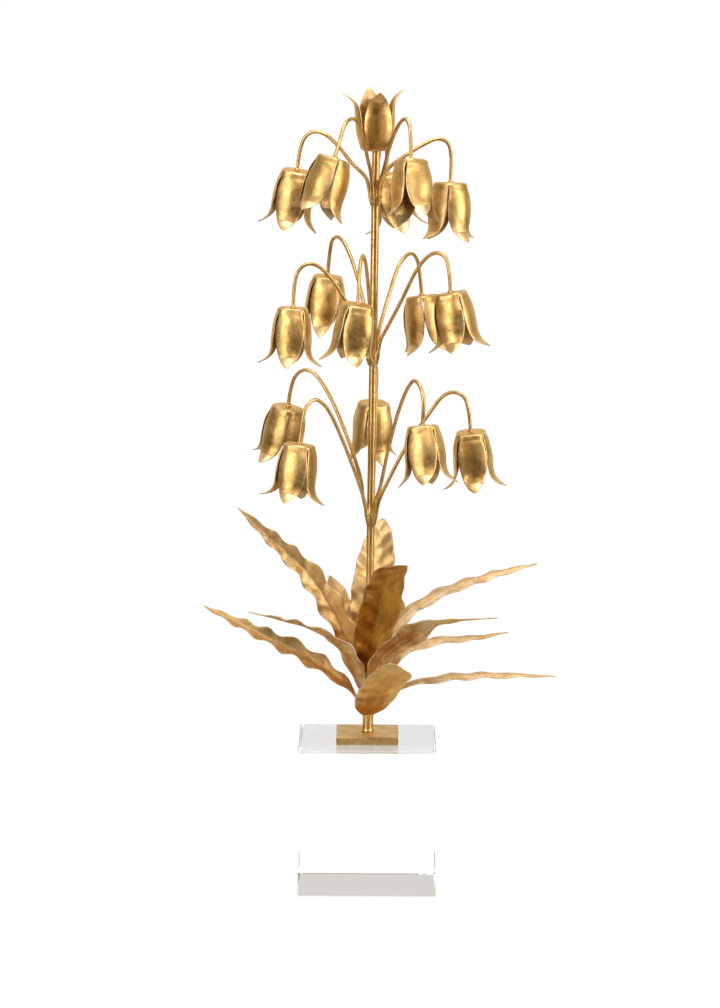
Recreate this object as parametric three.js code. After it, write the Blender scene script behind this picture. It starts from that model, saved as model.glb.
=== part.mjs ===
// A gilded sheet-metal spray of bell flowers on a clear block, in millimetres.
// The origin is the middle of the block's underside, +Z is up and -Y faces the viewer.
import * as THREE from "three";

// Driving dimensions
const blockSide = 101.6;
const blockHeight = 107;
const blockEdge = 0.4;
const plateSide = 46;
const plateHeight = 5.8;
const plateEdge = 0.5;
const clearance = 0.3;

const stemRadius = 2.9;
const postRadius = 4;
const weldRadius = 4.1;
const stemTopZ = 545;
const stemFootX = 0.2;
const stemLean = 4.3 / 433;
const stemSides = 12;

const wireRadius = 1.35;
const wireSides = 6;
const wireSteps = 17;

const sheetThickness = 0.8;
const capHalfSide = 10.7;
const capRoundness = 3;
const rimDrop = 2;
const petalLength = 44.5;
const petalHalfWidth = 10.8;
const petalBulge = 3.2;
const petalTuck = 0.7;
const petalsPerBloom = 4;
const petalColumns = 4;
const petalRows = [0.12, 0.32, 0.54, 0.72, 0.87, 1];

const leafThickness = 0.9;
const leafColumns = [-1, 0, 1];
const leafSteps = 30;
const foldWidth = 6;

const gold = { color: 0xc49a4e, roughness: 0.34, metalness: 1 };
const leafGold = { color: 0xb98c42, roughness: 0.4, metalness: 1 };
const plateGold = { color: 0xa8874f, roughness: 0.45, metalness: 1 };
const acrylic = { color: 0xf2f4f3, roughness: 0.05, metalness: 0, transparent: true, opacity: 0.35 };

const group = new THREE.Group();

function addMesh(name, geometry, finish) {
  const mesh = new THREE.Mesh(geometry, new THREE.MeshStandardMaterial(finish));
  mesh.name = name;
  group.add(mesh);
}

function geometryOf(points, triangles) {
  const geometry = new THREE.BufferGeometry();
  const flat = points.flatMap((p) => [p.x, p.y, p.z]);
  geometry.setAttribute("position", new THREE.Float32BufferAttribute(flat, 3));
  geometry.setIndex(triangles.flat());
  geometry.computeVertexNormals();
  return geometry;
}

// A closed solid through a row of rings with the same number of points, each end filled by a fan.
function loft(rings) {
  const count = rings[0].length;
  const points = rings.flat();
  const triangles = [];
  for (let j = 0; j < rings.length - 1; j++) {
    for (let i = 0; i < count; i++) {
      const a = j * count + i;
      const b = j * count + ((i + 1) % count);
      triangles.push([a, b, b + count], [a, b + count, a + count]);
    }
  }
  const middle = (ring) => ring.reduce((sum, p) => sum.add(p), new THREE.Vector3()).divideScalar(count);
  const first = points.length;
  points.push(middle(rings[0]), middle(rings[rings.length - 1]));
  const lastRing = (rings.length - 1) * count;
  for (let i = 0; i < count; i++) {
    const next = (i + 1) % count;
    triangles.push([first, next, i], [first + 1, lastRing + i, lastRing + next]);
  }
  return geometryOf(points, triangles);
}

// A thin closed solid: an open surface, its copy pushed back along the normals, and walls at its border.
function thicken(points, triangles, thickness) {
  const normals = points.map(() => new THREE.Vector3());
  for (const [a, b, c] of triangles) {
    const ab = points[b].clone().sub(points[a]);
    const ac = points[c].clone().sub(points[a]);
    const n = ab.cross(ac).normalize();
    for (const i of [a, b, c]) normals[i].add(n);
  }
  const count = points.length;
  const back = points.map((p, i) => p.clone().addScaledVector(normals[i].normalize(), -thickness));
  const faces = triangles.flatMap(([a, b, c]) => [[a, b, c], [a + count, c + count, b + count]]);
  const once = new Set(triangles.flatMap(([a, b, c]) => [a + "_" + b, b + "_" + c, c + "_" + a]));
  for (const [a, b, c] of triangles) {
    for (const [p, q] of [[a, b], [b, c], [c, a]]) {
      if (once.has(q + "_" + p)) continue;
      faces.push([p, p + count, q + count], [p, q + count, q]);
    }
  }
  return geometryOf(points.concat(back), faces);
}

// The value at position s of a profile given as [position, value] pairs.
function profileAt(profile, s) {
  let k = 1;
  while (k < profile.length - 1 && profile[k][0] < s) k++;
  const [s0, v0] = profile[k - 1];
  const [s1, v1] = profile[k];
  const t = THREE.MathUtils.clamp((s - s0) / (s1 - s0), 0, 1);
  return v0 + (v1 - v0) * t;
}

function smoothCurve(points) {
  return new THREE.CatmullRomCurve3(points, false, "centripetal");
}

const stemX = (z) => stemFootX + stemLean * (z - blockHeight - plateHeight);
const degrees = THREE.MathUtils.degToRad;

// Block and plate: square rings with their corners and edges lightly broken.
function squareRing(half, edge, z) {
  const k = half - edge;
  const corners = [
    [half, -k], [half, k], [k, half], [-k, half],
    [-half, k], [-half, -k], [-k, -half], [k, -half],
  ];
  return corners.map(([x, y]) => new THREE.Vector3(x, y, z));
}

function slab(side, bottom, height, edge) {
  const half = side / 2;
  const top = bottom + height;
  return loft([
    squareRing(half - edge, edge, bottom),
    squareRing(half, edge, bottom + edge),
    squareRing(half, edge, top - edge),
    squareRing(half - edge, edge, top),
  ]);
}

addMesh("acrylic_block", slab(blockSide, 0, blockHeight, blockEdge), acrylic);
const plateBottom = blockHeight + clearance;
const plateTop = plateBottom + plateHeight;
addMesh("base_plate", slab(plateSide, plateBottom, plateHeight, plateEdge), plateGold);

// Stem: a round rod that leans a little to the right, thicker at its foot and at the three welds.
const tierWeldZ = { lower: 278, middle: 397, upper: 514 };
const stemProfile = [
  [plateTop + clearance, postRadius + 0.9],
  [plateTop + 1.4, postRadius],
  [124, postRadius],
  [129, weldRadius],
  [146, weldRadius],
  [151, stemRadius],
];
for (const z of Object.values(tierWeldZ)) {
  stemProfile.push([z - 6, stemRadius], [z - 3, weldRadius + 0.3]);
  stemProfile.push([z, weldRadius + 0.6], [z + 2, stemRadius]);
}
stemProfile.push([stemTopZ, stemRadius]);
const stemRings = stemProfile.map(([z, radius]) => {
  const ring = [];
  for (let i = 0; i < stemSides; i++) {
    const turn = (2 * Math.PI * i) / stemSides;
    ring.push(new THREE.Vector3(stemX(z) + radius * Math.cos(turn), radius * Math.sin(turn), z));
  }
  return ring;
});
addMesh("stem", loft(stemRings), gold);

// Bloom: a flat rounded-square cap with four petals folded down from it. Each is convex across, bellies
// out below the cap and kicks outward to a pointed tip; one edge lies over the next petal's other edge.
const petalWidths = [[0, 0.86], [0.12, 0.89], [0.32, 1], [0.54, 0.95], [0.72, 0.74], [0.87, 0.41], [1, 0]];
const petalSlopes = [[0, 24], [0.1, 16], [0.25, 8], [0.45, 2], [0.6, -1], [0.7, 0], [1, 0]];
const petalKick = [[0, 0], [0.6, 0], [0.7, 0.24], [0.8, 0.58], [0.9, 0.88], [1, 1.05]];
const capRings = [0.55, 0.9, 1];

// Distance from the axis, distance below the cap and slope of a petal's middle line at share s of it.
function petalMiddle(flare, s) {
  const steps = 24;
  let out = capHalfSide + 0.4;
  let down = rimDrop;
  let slope = 0;
  for (let i = 0; i < steps; i++) {
    const t = (s * (i + 0.5)) / steps;
    slope = profileAt(petalSlopes, t) + flare * profileAt(petalKick, t);
    out += (Math.sin(degrees(slope)) * petalLength * s) / steps;
    down += (Math.cos(degrees(slope)) * petalLength * s) / steps;
  }
  return { out, down, slope: degrees(slope) };
}

// The direction from the cap to the petals' tips.
function bloomAxis(lean, nod, upright) {
  const tall = Math.cos(degrees(lean)) * Math.cos(degrees(nod));
  return new THREE.Vector3(
    Math.sin(degrees(lean)) * Math.cos(degrees(nod)),
    -Math.sin(degrees(nod)),
    upright ? tall : -tall,
  );
}

function bloomGeometry({ place, lean, nod, spin, flares, upright = false }) {
  const axis = bloomAxis(lean, nod, upright);
  const around = petalsPerBloom * petalColumns;
  const points = [place.clone()];
  const triangles = [];
  const up = axis.clone().multiplyScalar(upright ? 1 : -1);
  const front = new THREE.Vector3(Math.sin(degrees(spin)), -Math.cos(degrees(spin)), 0);
  front.addScaledVector(axis, -front.dot(axis)).normalize();
  const right = up.clone().cross(front);
  function outward(turn) {
    return front.clone().multiplyScalar(Math.cos(turn)).addScaledVector(right, Math.sin(turn));
  }
  const turnOf = (i) => (2 * Math.PI * (i - petalColumns / 2)) / around;
  capRings.forEach((share, j) => {
    for (let i = 0; i < around; i++) {
      const turn = turnOf(i);
      const square = (Math.abs(Math.cos(turn)) ** capRoundness + Math.abs(Math.sin(turn)) ** capRoundness)
        ** (-1 / capRoundness);
      const drop = j === capRings.length - 1 ? rimDrop : j === 0 ? 0 : 0.25;
      const reach = capHalfSide * square * share + (j === capRings.length - 1 ? 0.5 : 0);
      points.push(place.clone().addScaledVector(outward(turn), reach).addScaledVector(axis, drop));
    }
  });
  const ringStart = (j) => 1 + j * around;
  for (let i = 0; i < around; i++) {
    const next = (i + 1) % around;
    triangles.push([0, ringStart(0) + i, ringStart(0) + next]);
    for (let j = 0; j < capRings.length - 1; j++) {
      const a = ringStart(j);
      const b = ringStart(j + 1);
      triangles.push([a + i, b + i, b + next], [a + i, b + next, a + next]);
    }
  }
  const rim = ringStart(capRings.length - 1);
  flares.forEach((flare, k) => {
    const d = outward(k * Math.PI / 2);
    const side = up.clone().cross(d);
    let above = [];
    for (let i = 0; i <= petalColumns; i++) above.push(rim + ((k * petalColumns + i) % around));
    for (const s of petalRows) {
      const { out, down, slope } = petalMiddle(flare, s);
      const middle = place.clone().addScaledVector(d, out).addScaledVector(axis, down);
      const normal = d.clone().multiplyScalar(Math.cos(slope)).addScaledVector(axis, -Math.sin(slope));
      const share = profileAt(petalWidths, s);
      const half = petalHalfWidth * share;
      const bulge = petalBulge * share ** 1.5;
      const below = [];
      if (s === 1) {
        below.push(...Array(petalColumns + 1).fill(points.length));
        points.push(middle);
      } else {
        const arc = 2 * Math.atan2(bulge, half);
        for (let i = 0; i <= petalColumns; i++) {
          const u = (2 * i) / petalColumns - 1;
          below.push(points.length);
          const across = (half * Math.sin(u * arc)) / Math.sin(arc);
          const sink = (bulge * (1 - Math.cos(u * arc))) / (1 - Math.cos(arc)) - petalTuck * share * u;
          points.push(middle.clone().addScaledVector(side, across).addScaledVector(normal, -sink));
        }
      }
      for (let i = 0; i < petalColumns; i++) {
        triangles.push([above[i], below[i], below[i + 1]]);
        if (s < 1) triangles.push([above[i], below[i + 1], above[i + 1]]);
        else triangles.push([above[i], below[i], above[i + 1]]);
      }
      above = below;
    }
  });
  const clean = triangles.filter(([a, b, c]) => a !== b && b !== c && c !== a);
  const turned = upright ? clean.map(([a, b, c]) => [a, c, b]) : clean;
  return thicken(points, turned, sheetThickness);
}

// Wire: it leaves the weld beside the stem, climbs in one upright plane or swaying a little out of it,
// arches over and ends on the cap.
function wireGeometry({ weldZ, azimuth, path, axis, sway = 0 }) {
  const foot = new THREE.Vector3(stemX(weldZ), 0, 0);
  const away = new THREE.Vector3(Math.cos(azimuth), Math.sin(azimuth), 0);
  const start = stemRadius + wireRadius + clearance + 0.15;
  const flat = [[start, weldZ + 3], [start + 1.8, weldZ + 10], ...path];
  const across = away.clone().cross(new THREE.Vector3(0, 0, 1));
  const points = flat.map(([reach, z], k) => {
    const aside = sway * Math.sin((Math.PI * k) / (flat.length - 1));
    return foot.clone().addScaledVector(away, reach).addScaledVector(across, aside).setZ(z);
  });
  points[points.length - 1].addScaledVector(axis, -clearance);
  const curve = smoothCurve(points);
  const rings = [];
  for (let j = 0; j <= wireSteps; j++) {
    const centre = curve.getPointAt(j / wireSteps);
    const tangent = j === wireSteps ? axis.clone() : curve.getTangentAt(j / wireSteps);
    const right = across.clone().addScaledVector(tangent, -across.dot(tangent)).normalize();
    const up = tangent.clone().cross(right);
    const ring = [];
    for (let i = 0; i < wireSides; i++) {
      const turn = (2 * Math.PI * i) / wireSides;
      const spoke = right.clone().multiplyScalar(Math.cos(turn)).addScaledVector(up, Math.sin(turn));
      ring.push(centre.clone().addScaledVector(spoke, wireRadius));
    }
    rings.push(ring);
  }
  return loft(rings);
}

// Each stalk: azimuth of its wire, seen from above with 0 to the right and 90 to the back, its path as
// [reach from the stem, height] up to the cap, and the bloom's lean to the right, its nod toward the
// viewer, its spin about its own axis and the flares of its front, right, back and left petals.
const stalks = {
  lower_1: {
    azimuth: 150, lean: -11, nod: -5, spin: -35, flares: [66, 55, 55, 68],
    path: [
      [9, 303], [23, 338], [37, 364], [50, 378.5], [58, 379.5], [65, 374.5], [69.5, 363], [71.3, 351.5],
    ],
  },
  lower_2: {
    azimuth: -141, lean: -7, nod: 3, spin: -15, flares: [62, 62, 58, 72],
    path: [
      [11, 300], [25, 330.5], [39, 356], [46, 363.5], [53, 366.5], [60.5, 362], [63.5, 354],
      [66.5, 335.5],
    ],
  },
  lower_3: {
    azimuth: 88.5, sway: 2.6, lean: -3, nod: -6, spin: 28, flares: [28, 50, 50, 26],
    path: [[11, 305], [26, 343], [38, 364], [47, 374], [55, 378], [63, 374.5], [68.5, 365], [70, 350]],
  },
  lower_4: {
    azimuth: -59, lean: 5, nod: 8, spin: -8, flares: [55, 52, 50, 45],
    path: [
      [12, 296], [24, 327], [40.5, 361.5], [54, 379.5], [61, 383.5], [69, 379.5], [73, 371],
      [72.4, 352.5],
    ],
  },
  lower_5: {
    azimuth: -9, lean: 5, nod: -4, spin: -2, flares: [70, 55, 55, 58],
    path: [
      [13.4, 303], [26, 327.5], [41, 350], [54, 366.5], [62, 369], [69, 365], [72, 356], [73.8, 340.5],
    ],
  },
  middle_1: {
    azimuth: -168, lean: -3, nod: 2, spin: -6, flares: [52, 60, 55, 62],
    path: [
      [12, 421], [21, 436], [31, 451], [41, 461], [49, 463], [55.5, 458.5], [58.5, 449], [59.8, 431.5],
    ],
  },
  middle_2: {
    azimuth: 119, lean: -5, nod: -2, spin: -5, flares: [46, 55, 55, 58],
    path: [
      [10, 420], [22.5, 446.5], [39, 468], [49, 475], [56, 476.5], [63.5, 473], [67.5, 463], [70.5, 446],
    ],
  },
  middle_3: {
    azimuth: -99, lean: -9, nod: -2, spin: 15, flares: [64, 44, 38, 48],
    path: [[10, 419], [19, 438], [30, 459], [40, 470], [49, 473.5], [59, 469], [66, 456], [68.5, 441]],
  },
  middle_4: {
    azimuth: 57, lean: 7, nod: 5, spin: -44, flares: [54, 48, 55, 66],
    path: [
      [9, 415], [20.5, 436.5], [35, 458.5], [48, 465], [55, 463.5], [60.5, 457], [63.5, 446],
      [65.9, 432.5],
    ],
  },
  middle_5: {
    azimuth: -30, lean: 10, nod: 3, spin: -18, flares: [60, 56, 62, 66],
    path: [
      [10, 413], [23, 435.5], [36.5, 460], [46, 470.5], [53, 473.3], [60, 470.5], [63.2, 460],
      [64.6, 445.5],
    ],
  },
  upper_1: {
    azimuth: 170, lean: -9, nod: -4, spin: -8, flares: [68, 44, 55, 55],
    path: [
      [9, 527.5], [17.5, 535.5], [28.5, 548.5], [37.5, 556], [46, 557.7], [52, 554], [55.5, 546],
      [58.2, 529.5],
    ],
  },
  upper_2: {
    azimuth: -116, lean: -18, nod: 8, spin: -31, flares: [52, 48, 60, 55],
    path: [[8, 530], [14, 542], [21, 556.5], [29, 567], [38.5, 571], [49.5, 568], [59, 556], [66.5, 545]],
  },
  upper_3: {
    azimuth: -63, lean: 2, nod: 20, spin: -60, flares: [44, 36, 50, 50],
    path: [
      [8, 524], [21.5, 548], [30, 559.5], [39, 568.3], [47.5, 571.5], [53.3, 567.5], [55.5, 558],
      [56, 542],
    ],
  },
  upper_4: {
    azimuth: 12, lean: -2, nod: 4, spin: -50, flares: [66, 56, 74, 55],
    path: [
      [10, 532], [20.5, 540], [28, 544.5], [36, 549], [46, 552.7], [53.5, 550], [56.2, 541], [56, 521],
    ],
  },
  upper_5: {
    azimuth: 82.5, lean: 13, nod: -2, spin: 11, flares: [48, 48, 46, 80],
    path: [[10, 530], [24, 545], [36, 556], [46, 560], [54, 557.5], [60, 549], [62.5, 537], [62.8, 522]],
  },
};

for (const [name, stalk] of Object.entries(stalks)) {
  const weldZ = tierWeldZ[name.split("_")[0]];
  const azimuth = degrees(stalk.azimuth);
  const [reach, z] = stalk.path[stalk.path.length - 1];
  const place = new THREE.Vector3(stemX(weldZ) + reach * Math.cos(azimuth), reach * Math.sin(azimuth), z);
  const axis = bloomAxis(stalk.lean, stalk.nod, false);
  addMesh("wire_" + name, wireGeometry({ ...stalk, weldZ, azimuth, axis }), gold);
  addMesh("bloom_" + name, bloomGeometry({ place, ...stalk }), gold);
}
const topPlace = new THREE.Vector3(stemX(stemTopZ), 0, stemTopZ + clearance);
const topPose = { place: topPlace, lean: -2, nod: 1, spin: 12, flares: [46, 50, 30, 58], upright: true };
addMesh("bloom_top", bloomGeometry(topPose), gold);

// Leaf: a blade along a smooth path, folded along its midrib, rolled about it and rippled at both edges.
// The fold flattens where the blade is narrower than foldWidth; a negative fold is a ridge. The ripple is a
// sine wave that shortens toward the tip, wanders, and is out of step across the blade. Its crests also
// widen the blade by the shares given as lobes, one for each edge.
const leafWidths = {
  long: [[0, 0.22], [0.08, 0.42], [0.2, 0.75], [0.35, 1], [0.5, 0.95], [0.7, 0.7], [0.88, 0.34], [1, 0.03]],
  broad: [
    [0, 0.22], [0.1, 0.5], [0.25, 0.82], [0.45, 1], [0.65, 0.98], [0.82, 0.76], [0.94, 0.4], [1, 0.06],
  ],
  cupped: [
    [0, 0.34], [0.08, 0.66], [0.2, 0.92], [0.4, 1], [0.6, 0.94], [0.78, 0.8], [0.9, 0.74], [0.96, 0.56], [1, 0.2],
  ],
  rounded: [
    [0, 0.22], [0.1, 0.5], [0.25, 0.82], [0.45, 1], [0.65, 0.98], [0.8, 0.88], [0.91, 0.68], [1, 0.2],
  ],
  slim: [
    [0, 0.35], [0.15, 0.62], [0.3, 0.86], [0.5, 1], [0.65, 0.87], [0.8, 0.68], [0.92, 0.36], [1, 0.03],
  ],
  tailed: [
    [0, 0.3], [0.1, 0.6], [0.22, 0.88], [0.48, 0.88], [0.57, 0.92], [0.63, 0.7], [0.7, 0.42],
    [0.82, 0.34], [1, 0.03],
  ],
};

function leafGeometry(leaf) {
  const { path, half, fold, roll, phase, seed, form = "long" } = leaf;
  const { ripple = 1.5, rippleLength = 21, lobes = [0, 0] } = leaf;
  const curve = smoothCurve(path.map(([x, y, z]) => new THREE.Vector3(x, y, z)));
  const length = curve.getLength();
  const points = [];
  const triangles = [];
  const columns = leafColumns.length;
  for (let j = 0; j <= leafSteps; j++) {
    const s = j / leafSteps;
    const centre = curve.getPointAt(s);
    const tangent = curve.getTangentAt(s);
    const level = new THREE.Vector3(-tangent.y, tangent.x, 0).normalize();
    const turn = degrees(profileAt(roll, s));
    const side = level.applyAxisAngle(tangent, turn);
    const normal = tangent.clone().cross(side).normalize();
    const width = half * profileAt(leafWidths[form], s);
    const crease = degrees(fold) * Math.min(1, width / foldWidth);
    const along = s * length;
    for (const u of leafColumns) {
      const shift = u > 0 ? 0 : 2.2;
      const wander = 0.5 * Math.sin(along / 17 + seed) + 0.3 * Math.sin(along / 9.5 + 2 * seed + shift);
      const turns = (along * (0.85 + 0.15 * s)) / rippleLength;
      const wave = Math.sin(2 * Math.PI * turns + phase + shift + wander);
      const height = ripple * (1 + 0.3 * Math.sin(along / 13 + seed + shift));
      const lift = Math.abs(u) * (width * Math.sin(crease) + (height * wave * width) / half);
      const spread = 1 + (u < 0 ? lobes[0] : lobes[1]) * wave * Math.abs(u);
      const p = centre.clone().addScaledVector(side, u * width * Math.cos(crease) * spread);
      points.push(p.addScaledVector(normal, lift));
    }
  }
  for (let j = 0; j < leafSteps; j++) {
    for (let i = 0; i < columns - 1; i++) {
      const a = j * columns + i;
      const b = a + columns;
      if (i % 2) triangles.push([a, b, b + 1], [a, b + 1, a + 1]);
      else triangles.push([a, b, a + 1], [a + 1, b, b + 1]);
    }
  }
  return thicken(points, triangles.map(([a, b, c]) => [a, c, b]), leafThickness);
}

// Leaves, each path from the base to the tip; roll gives the turn about the path at shares of its length.
const leaves = {
  leaf_upper_left: {
    half: 9.8, fold: 28, roll: [[0, -40], [0.15, -66], [0.5, -72], [1, -72]],
    ripple: 1.5, rippleLength: 22.5, lobes: [0.2, -0.2], phase: 1.5,
    path: [
      [-5.4, 1.5, 149], [-8.6, 2.5, 163], [-16, 4, 184], [-28, 6, 207], [-45, 8, 231], [-67, 10, 252],
      [-97, 13, 279],
    ],
  },
  leaf_low_left: {
    half: 7.6, fold: 24, roll: [[0, -30], [0.15, -46], [0.5, -55], [1, -55]],
    ripple: 1.3, rippleLength: 22, lobes: [0.22, 0.42], phase: 6.2,
    path: [
      [-5.2, -1.7, 133], [-12, -4, 144], [-24, -7, 155], [-48, -13, 172.5], [-82, -19, 191],
      [-121, -25, 212],
    ],
  },
  leaf_thin_left: {
    half: 14, fold: 16, roll: [[0, 0], [0.35, 0], [0.6, 6], [1, 8]], phase: 2,
    path: [
      [-3.5, -4.2, 144], [-10, -13, 160], [-19, -21, 176.5], [-30, -28, 188], [-45, -33, 196.5],
      [-88, -44, 211],
    ],
  },
  leaf_short_back_left: {
    half: 12, form: "broad", fold: 14, roll: [[0, 0], [1, 0]], phase: 0.8,
    path: [[-3.4, 4.2, 145], [-10, 15, 162], [-15, 24, 182], [-23, 36, 205], [-29, 45, 222]],
  },
  leaf_tall_back: {
    half: 17, form: "rounded", fold: 10, roll: [[0, 0], [0.5, 4], [1, 0]], ripple: 1.1, phase: 0.2,
    path: [[-0.4, 5.1, 149], [1, 13.8, 168], [3, 22.6, 194], [5.5, 31, 222], [8.5, 37, 246], [11, 42, 266]],
  },
  leaf_tall_front: {
    half: 17.5, form: "rounded", fold: 8, roll: [[0, 0], [0.5, 2], [1, 4]], ripple: 1, phase: 1,
    path: [
      [1, -5.5, 149], [3.3, -11.5, 170], [6.2, -17, 192], [11.2, -27.5, 214], [13.1, -31.2, 225],
      [18.2, -42.5, 242], [21, -56, 248],
    ],
  },
  leaf_upper_right: {
    half: 6.4, form: "slim", fold: -20, roll: [[0, 16], [0.3, 24], [1, 26]],
    ripple: 0.7, rippleLength: 23, lobes: [0.32, 0.15], phase: 4.7,
    path: [
      [5.1, 1.8, 149], [11, 2, 169], [18, 4.1, 186.5], [27, 8, 199], [50, 15, 214.2], [88, 24, 226],
      [126, 32, 234],
    ],
  },
  leaf_wide_right: {
    half: 10.5, form: "tailed", fold: 6, ripple: 0.9, phase: 2.6,
    roll: [[0, 0], [0.3, -12], [0.45, -32], [0.58, -52], [0.7, -40], [1, 0]],
    path: [
      [1.2, -5.7, 139], [3.5, -11, 149], [8, -18, 165.1], [13.5, -27, 175.2], [21.2, -39, 184.4],
      [29.5, -49, 192.8], [37.4, -57, 200], [46.1, -62, 205.7], [63.4, -66, 209.2], [94.5, -68, 212],
    ],
  },
  leaf_middle_right: {
    half: 5.8, fold: -20, roll: [[0, 26], [1, 26]],
    ripple: 0.6, rippleLength: 25.5, lobes: [0.35, 0.1], phase: 5.1,
    path: [
      [6.1, -1.4, 139], [12.4, -2.8, 153], [20, -4, 167.5], [32, -5, 178], [56, -6, 184], [77, -7, 185.2],
      [104, -8, 189.5],
    ],
  },
  leaf_low_right: {
    half: 5, fold: -20, roll: [[0, 20], [0.4, 26], [1, 26]],
    ripple: 0.5, rippleLength: 26.5, lobes: [0.38, 0.1], phase: 0.4,
    path: [
      [4.8, 3.2, 131], [14, 3, 139.5], [25, 0, 147], [51, -9, 155.3], [82, -14, 158.8], [110, -17, 159.2],
      [139, -20, 159],
    ],
  },
  leaf_low_front: {
    half: 16.6, form: "cupped", fold: 8, roll: [[0, 0], [0.45, 0], [0.75, -22], [1, -40]],
    ripple: 0.45, rippleLength: 12, phase: 1.9,
    path: [
      [1.2, -5.3, 126], [3.6, -13, 132], [6.7, -22, 139.9], [10, -34, 150], [15.1, -50, 161.2],
      [20.8, -60, 168.4], [27, -67, 173],
    ],
  },
  leaf_short_back_right: {
    half: 11, form: "broad", fold: 12, roll: [[0, 0], [1, 0]], phase: 2.4,
    path: [[3.5, 4.4, 142], [10, 15, 158], [17, 26, 176], [21, 38, 194], [24, 48, 205]],
  },
};
Object.entries(leaves).forEach(([name, leaf], number) => {
  addMesh(name, leafGeometry({ ...leaf, seed: 200 + number }), leafGold);
});

export default group;
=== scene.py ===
import math
import bmesh
import bpy
import numpy as np
from mathutils import Matrix, Vector


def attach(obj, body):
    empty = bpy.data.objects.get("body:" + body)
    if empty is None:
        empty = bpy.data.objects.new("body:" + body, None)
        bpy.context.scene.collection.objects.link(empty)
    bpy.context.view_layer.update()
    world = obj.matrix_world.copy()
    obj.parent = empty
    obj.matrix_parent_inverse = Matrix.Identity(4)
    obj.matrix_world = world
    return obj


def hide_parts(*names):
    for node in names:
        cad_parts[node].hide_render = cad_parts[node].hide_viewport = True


# Gilded sheet-metal lily of the valley on a clear block. Shapes are worked out in millimetres in the
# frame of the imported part: origin under the middle of the block, +Z up, -Y towards the viewer.
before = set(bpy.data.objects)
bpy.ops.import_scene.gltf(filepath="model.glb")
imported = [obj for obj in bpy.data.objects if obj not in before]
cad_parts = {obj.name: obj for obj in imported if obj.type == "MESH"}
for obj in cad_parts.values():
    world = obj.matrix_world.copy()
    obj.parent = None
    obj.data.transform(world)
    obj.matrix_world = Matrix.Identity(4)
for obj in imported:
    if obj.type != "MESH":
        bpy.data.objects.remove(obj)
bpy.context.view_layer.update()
millimetre = 0.001
mergeDistance = 0.004
print("frame loaded:", len(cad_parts), "nodes")


# Small tools for shapes

def unit(vectors):
    return vectors / np.maximum(np.linalg.norm(vectors, axis=-1, keepdims=True), 1e-9)


def easeIn(x, start, end):  # 0 before start, 1 after end, smooth in between
    t = np.clip((x - start) / (end - start), 0, 1)
    return t * t * (3 - 2 * t)


def peak(s, centre, half):  # 1 at the centre, falling off smoothly on both sides
    return np.exp(-((s - centre) / half)**2)


def profile(pairs, s):  # cubic through (position, value) pairs, with slopes from their neighbours
    x, v = np.array(pairs, float).T
    m = np.gradient(v, x)
    k = np.clip(np.searchsorted(x, s, side="right") - 1, 0, len(x) - 2)
    h = x[k + 1] - x[k]
    t = np.clip((s - x[k]) / h, 0, 1)
    start, end = v[k], v[k + 1]
    return (start * (2 * t**3 - 3 * t**2 + 1) + end * (3 * t**2 - 2 * t**3)
            + h * m[k] * (t**3 - 2 * t**2 + t) + h * m[k + 1] * (t**3 - t**2))


def smoothPath(points, count):  # centripetal Catmull-Rom curve, cut into steps of equal length
    p = np.array(points, float)
    p = np.vstack([2 * p[0] - p[1], p, 2 * p[-1] - p[-2]])
    gap = np.sqrt(np.linalg.norm(np.diff(p, axis=0), axis=1))
    t = np.linspace(0, 1, 32, endpoint=False)[:, None]
    pieces = []
    for k in range(1, len(p) - 2):
        x0, x1, x2, x3 = p[k - 1:k + 3]
        d0, d1, d2 = gap[k - 1:k + 2]
        m1 = d1 * ((x1 - x0) / d0 - (x2 - x0) / (d0 + d1) + (x2 - x1) / d1)
        m2 = d1 * ((x2 - x1) / d1 - (x3 - x1) / (d1 + d2) + (x3 - x2) / d2)
        squared = 3 * (x2 - x1) - 2 * m1 - m2
        cubed = 2 * (x1 - x2) + m1 + m2
        pieces.append(x1 + m1 * t + squared * t**2 + cubed * t**3)
    dense = np.vstack(pieces + [p[-2:-1]])
    run = np.concatenate([[0], np.cumsum(np.linalg.norm(np.diff(dense, axis=0), axis=1))])
    at = np.linspace(0, run[-1], count)
    path = np.stack([np.interp(at, run, dense[:, i]) for i in range(3)], 1)
    return path, unit(np.gradient(path, axis=0)), run[-1]


def softNoise(x, y, size, seed):  # eight sine waves about one size long in seeded directions, added up
    waves = 8
    rng = np.random.default_rng(seed)
    turns = rng.uniform(0, np.pi, waves)
    lengths = size * rng.uniform(0.7, 1.5, waves)
    phases = rng.uniform(0, 2 * np.pi, waves)
    total = np.zeros(np.broadcast(x, y).shape)
    for turn, length, phase in zip(turns, lengths, phases):
        total += np.sin(2 * np.pi * (x * np.cos(turn) + y * np.sin(turn)) / length + phase)
    return 2 * total / waves


def gridFaces(rows, columns, closed=False):  # quads of a grid of points, wrapped round where it is closed
    i = np.arange(columns if closed else columns - 1)
    j = np.arange(rows - 1)[:, None] * columns
    nextColumn = (i + 1) % columns
    quads = np.stack([j + i, j + nextColumn, j + columns + nextColumn, j + columns + i], -1)
    return quads.reshape(-1, 4)


def facing(azimuth):  # level direction at an azimuth in degrees, 0 to the right and 90 to the back
    turn = np.radians(azimuth)
    return np.array([np.cos(turn), np.sin(turn), 0])


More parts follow.
